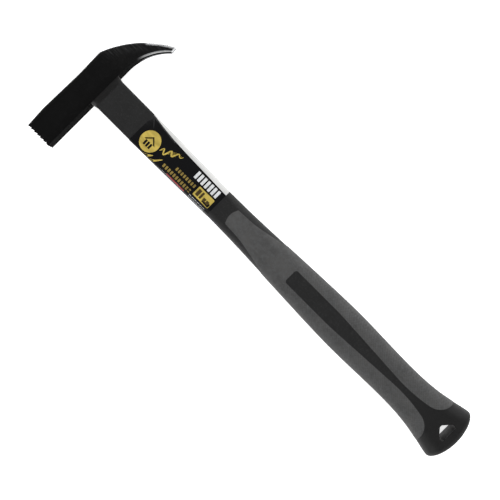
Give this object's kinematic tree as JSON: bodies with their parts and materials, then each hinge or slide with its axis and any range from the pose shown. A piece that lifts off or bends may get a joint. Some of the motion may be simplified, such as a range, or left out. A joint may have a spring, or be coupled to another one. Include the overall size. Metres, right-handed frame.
{
  "type": "roofing hammer",
  "caption": "Claw hammer with a square toothed striking face, a curved two-pronged claw, a fibreglass-cored handle, a soft grip and a hang hole.",
  "frame": {"origin": "on the resting surface, under the middle of the hammer's overall box", "axes": "+X along the handle from the head to the butt, +Y towards the claw, -Y towards the striking face, +Z through the thickness"},
  "size_m": [0.3662, 0.1112, 0.028],
  "materials": {
    "head_steel": "black coated forging, satin, with bright ground claw edges",
    "core_glass": "pultruded glass fibre and resin, cut flush",
    "eye_resin": "cured dark epoxy, slightly wavy",
    "jacket_plastic": "fine matt moulded texture",
    "grip_rubber": "soft matt thermoplastic rubber with a fine stipple",
    "label_film": "laminated gloss print, black front and back with pale edges"
  },
  "bodies": {
    "root": {"hammer_head": "head_steel", "fiberglass_core": "core_glass", "eye_adhesive": "eye_resin", "handle_jacket": "jacket_plastic", "soft_grip": "grip_rubber", "label_wrap": "label_film"}
  },
  "joints": []
}
